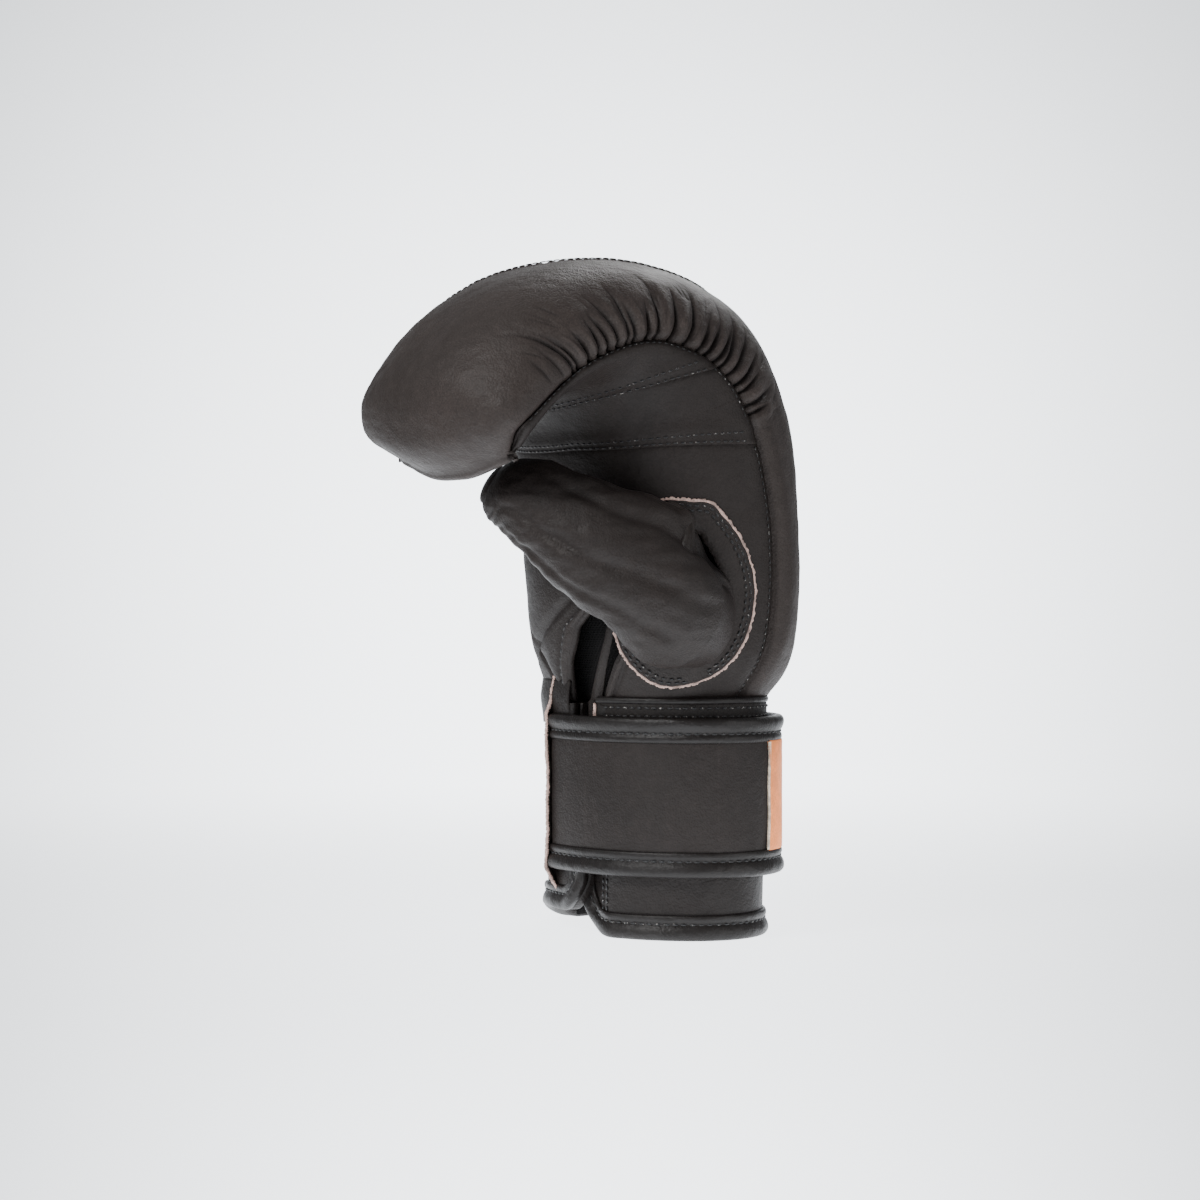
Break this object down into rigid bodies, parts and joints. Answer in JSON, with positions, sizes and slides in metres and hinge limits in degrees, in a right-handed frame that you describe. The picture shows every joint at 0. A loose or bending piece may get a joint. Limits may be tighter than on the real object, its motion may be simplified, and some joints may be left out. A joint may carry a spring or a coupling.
{
  "type": "boxing glove",
  "caption": "Padded bag glove for the right hand: curled mitt with thumb stall, padded cuff with a palm slit, and a wrap-round wrist strap.",
  "frame": {"origin": "bottom centre of the glove's box, on the surface that the cuff stands on", "axes": "+Z from the cuff to the knuckles, -X the palm side, +X the back of the hand, -Y the thumb side, +Y the little-finger side"},
  "size_m": [0.1631, 0.1262, 0.2576],
  "materials": {
    "hood_leather": "matte fine grain",
    "palm_leather": "matte fine grain",
    "thumb_leather": "matte fine grain",
    "cuff_leather": "matte fine grain",
    "binding_leather": "matte fine grain",
    "strap_leather": "matte fine grain",
    "raw_edge": "raw cut edge",
    "label_leather": "smooth semi-gloss",
    "foam_firm": "closed-cell foam",
    "foam_soft": "soft foam",
    "lining": "woven",
    "grip_bar": "woven cover",
    "loop_fabric": "brushed loop pile",
    "hook_fabric": "moulded hooks on tape"
  },
  "bodies": {
    "hand": {"hood_leather_back": "hood_leather", "back_foam_firm": "foam_firm", "back_foam_soft": "foam_soft", "palm_leather_lower": "palm_leather", "palm_leather_middle": "palm_leather", "palm_foam": "foam_soft", "hand_lining": "lining", "grip_bar": "grip_bar", "thumb_flange": "raw_edge", "cuff_leather_radial": "cuff_leather", "cuff_leather_ulnar": "cuff_leather", "cuff_foam_radial": "foam_soft", "cuff_foam_ulnar": "foam_soft", "cuff_lining": "lining", "cuff_welt": "binding_leather", "cuff_binding_radial": "binding_leather", "cuff_binding_ulnar": "binding_leather", "slit_gusset": "lining", "strap_root_seam": "raw_edge", "loop_patch": "loop_fabric"},
    "fingers": {"hood_leather_fingers": "hood_leather", "finger_foam_firm": "foam_firm", "finger_foam_soft": "foam_soft", "palm_leather_fingers": "palm_leather", "finger_palm_foam": "foam_soft", "finger_lining": "lining"},
    "thumb": {"thumb_leather": "thumb_leather", "thumb_foam": "foam_soft", "thumb_lining": "lining"},
    "strap_front": {"strap_front": "strap_leather", "strap_front_bindings": "binding_leather"},
    "strap_side": {"strap_side": "strap_leather", "strap_side_bindings": "binding_leather"},
    "strap_tab": {"strap_tab": "strap_leather", "strap_tab_bindings": "binding_leather", "hook_patch": "hook_fabric", "label_patch": "label_leather"}
  },
  "joints": [
    {"name": "finger_flex", "type": "hinge", "parent": "hand", "child": "fingers", "pos_m": [0.04208, 0.006, 0.24923], "axis": [0, 1, 0], "range_deg": [0, 12], "stiffness_Nm_per_rad": 2},
    {"name": "thumb_flex", "type": "hinge", "parent": "hand", "child": "thumb", "pos_m": [0.03826, -0.053, 0.131], "axis": [0, 0, 1], "range_deg": [0, 18], "stiffness_Nm_per_rad": 0.4},
    {"name": "strap_root_peel", "type": "hinge", "parent": "hand", "child": "strap_front", "pos_m": [-0.00144, 0.02368, 0.054], "axis": [0, 0, -1], "range_deg": [0, 60]},
    {"name": "strap_side_peel", "type": "hinge", "parent": "strap_front", "child": "strap_side", "pos_m": [0.00577, -0.03097, 0.054], "axis": [0, 0, -1], "range_deg": [0, 66]},
    {"name": "strap_tab_peel", "type": "hinge", "parent": "strap_side", "child": "strap_tab", "pos_m": [0.04619, -0.04959, 0.054], "axis": [0, 0, -1], "range_deg": [0, 72]}
  ],
  "couplings": [
    {"joint": "strap_side_peel", "follows": "strap_root_peel", "ratio": 1.1},
    {"joint": "strap_tab_peel", "follows": "strap_root_peel", "ratio": 1.2}
  ]
}
